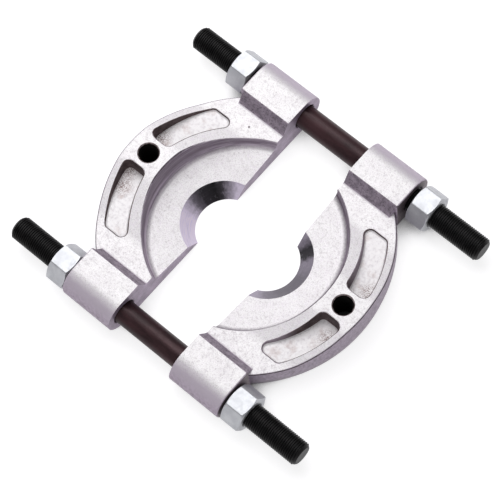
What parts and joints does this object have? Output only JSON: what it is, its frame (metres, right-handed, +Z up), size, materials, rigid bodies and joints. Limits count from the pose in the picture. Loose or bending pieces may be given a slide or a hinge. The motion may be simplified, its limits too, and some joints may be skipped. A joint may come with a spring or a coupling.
{
  "type": "bearing race puller",
  "caption": "Split half-moon jaws with knife-edged notches, drawn together on threaded studs by hex nuts to grip behind a bearing race.",
  "frame": {"origin": "under the middle of the two studs, on the surface that the jaws lie on", "axes": "+X along the studs from the left jaw to the right one, +Y from the front stud to the rear one, +Z up out of the dished side"},
  "size_m": [0.2286, 0.195, 0.028],
  "materials": {
    "plated_steel": "satin zinc plate over a blasted forging",
    "bright_zinc": "bright zinc plate",
    "black_oxide": "black oxide"
  },
  "bodies": {
    "jaw_left": {"jaw_left": "plated_steel"},
    "jaw_right": {"jaw_right": "plated_steel"},
    "stud_front": {"stud_front": "black_oxide"},
    "stud_rear": {"stud_rear": "black_oxide"},
    "nut_left_front": {"nut_left_front": "bright_zinc"},
    "nut_left_rear": {"nut_left_rear": "bright_zinc"},
    "nut_right_front": {"nut_right_front": "bright_zinc"},
    "nut_right_rear": {"nut_right_rear": "bright_zinc"}
  },
  "joints": [
    {"name": "stud_front_feed", "type": "slide", "parent": "jaw_left", "child": "stud_front", "axis": [1, 0, 0], "range_m": [-0.0242, 0.0295]},
    {"name": "stud_rear_feed", "type": "slide", "parent": "jaw_left", "child": "stud_rear", "axis": [1, 0, 0], "range_m": [-0.0242, 0.0295]},
    {"name": "nut_left_front_turn", "type": "hinge", "parent": "jaw_left", "child": "nut_left_front", "pos_m": [-0.07275, -0.0835, 0.014], "axis": [1, 0, 0], "range_deg": [-7530, 6180]},
    {"name": "nut_left_rear_turn", "type": "hinge", "parent": "jaw_left", "child": "nut_left_rear", "pos_m": [-0.07465, 0.0835, 0.014], "axis": [1, 0, 0], "range_deg": [-7530, 6180]},
    {"name": "jaw_right_feed", "type": "slide", "parent": "stud_front", "child": "jaw_right", "axis": [1, 0, 0], "range_m": [-0.0242, 0.033]},
    {"name": "nut_right_front_turn", "type": "hinge", "parent": "jaw_right", "child": "nut_right_front", "pos_m": [0.06805, -0.0835, 0.014], "axis": [-1, 0, 0], "range_deg": [-8420, 6180]},
    {"name": "nut_right_rear_turn", "type": "hinge", "parent": "jaw_right", "child": "nut_right_rear", "pos_m": [0.07035, 0.0835, 0.014], "axis": [-1, 0, 0], "range_deg": [-8420, 6180]}
  ],
  "couplings": [
    {"joint": "stud_rear_feed", "follows": "stud_front_feed", "ratio": 1},
    {"joint": "nut_left_front_turn", "follows": "stud_front_feed", "rad_per_m": -4452.6},
    {"joint": "nut_left_rear_turn", "follows": "stud_front_feed", "rad_per_m": -4452.6},
    {"joint": "nut_right_front_turn", "follows": "jaw_right_feed", "rad_per_m": -4452.6},
    {"joint": "nut_right_rear_turn", "follows": "jaw_right_feed", "rad_per_m": -4452.6}
  ]
}
